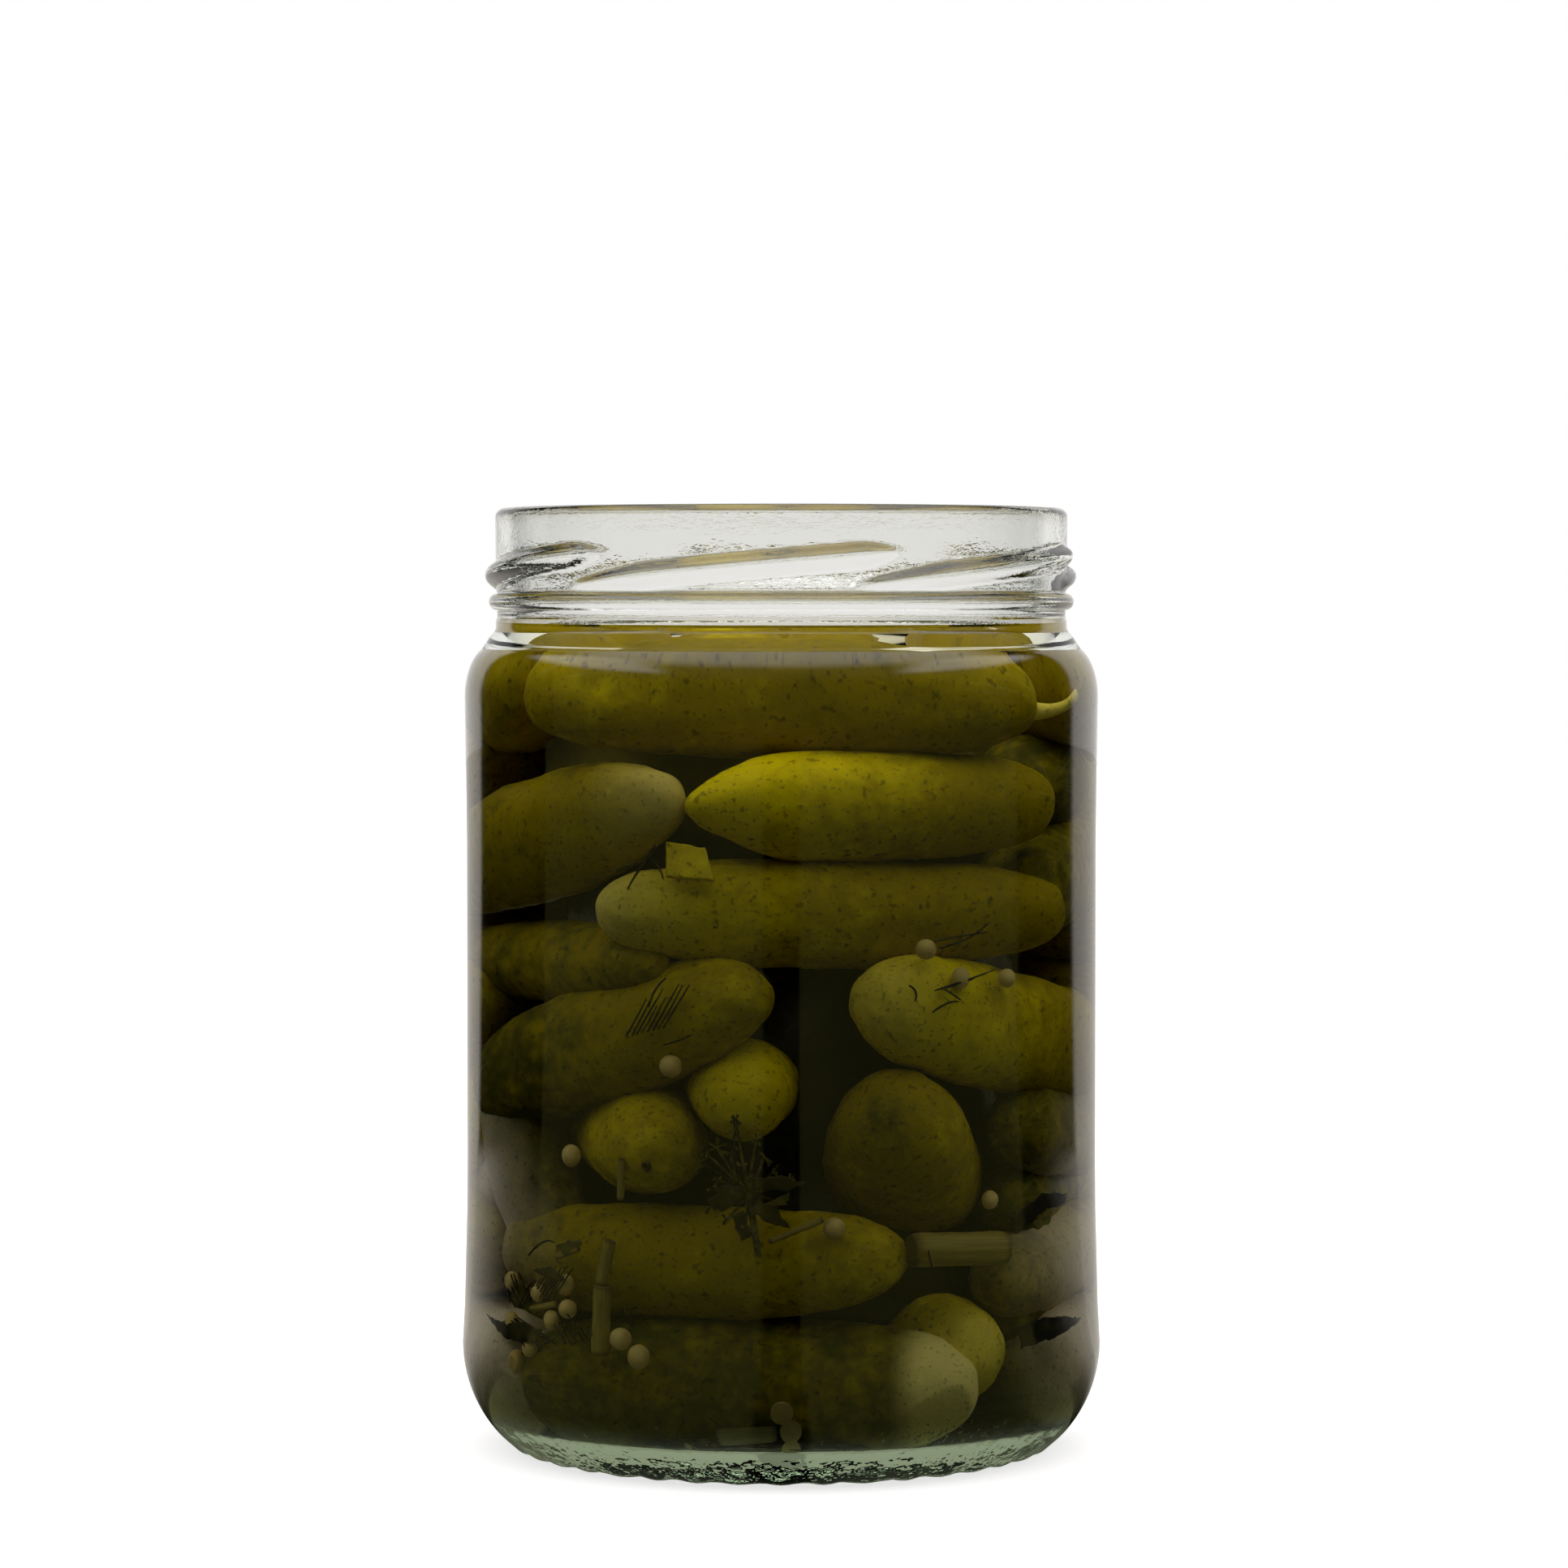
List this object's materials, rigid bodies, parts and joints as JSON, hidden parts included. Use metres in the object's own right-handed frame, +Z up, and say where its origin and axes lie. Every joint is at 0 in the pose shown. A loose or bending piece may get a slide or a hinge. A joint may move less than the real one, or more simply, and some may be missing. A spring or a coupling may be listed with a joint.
{
  "type": "open twist-off preserving jar of pickled gherkins",
  "caption": "Round clear glass preserving jar with a lugged twist-off mouth, standing open and packed with pickled gherkins, mustard seeds and dill in brine.",
  "frame": {"origin": "centre of the ring that the jar stands on, at its lowest point", "axes": "+Z up along the jar's axis, -Y towards the side that the picture shows, +X to that side's right"},
  "size_m": [0.0886, 0.0886, 0.13],
  "materials": {
    "clear_glass": "clear glass with a faint green tint where it is thick",
    "gherkin": "wet olive green skin",
    "brine": "clear, slightly cloudy vinegar brine",
    "mustard_seed": "pale yellow seed coat",
    "dill": "soaked olive brown herb"
  },
  "bodies": {
    "root": {"jar_glass": "clear_glass", "gherkin_heap": "gherkin"}
  },
  "joints": []
}
